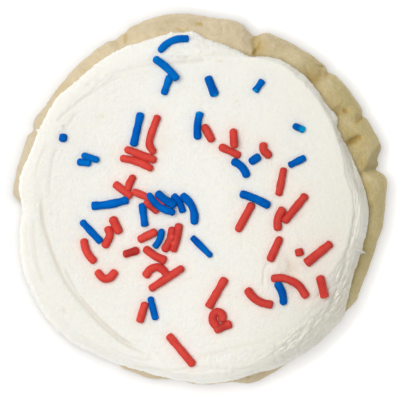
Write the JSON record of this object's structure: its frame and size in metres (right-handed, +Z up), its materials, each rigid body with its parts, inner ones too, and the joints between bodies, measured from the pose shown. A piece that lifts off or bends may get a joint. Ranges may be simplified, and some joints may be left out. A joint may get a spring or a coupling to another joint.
{
  "type": "iced sugar cookie",
  "caption": "Thick round sugar cookie with a lumpy baked rim, off-centre white icing spread on top, and red and blue sugar strands pressed into the icing.",
  "frame": {"origin": "centre of the bounding box in X and Y, on the flat underside that the cookie rests on", "axes": "+Z up out of the icing; +X to the side where most of the bare rim shows, +Y to the side with the deep crease in the rim"},
  "size_m": [0.0938, 0.093, 0.0167],
  "materials": {
    "cookie": "baked sugar dough: pale tan, dry and finely crumbed, darker in the cracks",
    "icing": "spread white icing, satin, with red and blue sugar strands fused on",
    "red_strands": "waxy red sugar strands",
    "blue_strands": "waxy blue sugar strands"
  },
  "bodies": {
    "root": {"cookie": "cookie", "icing": "icing"}
  },
  "joints": []
}
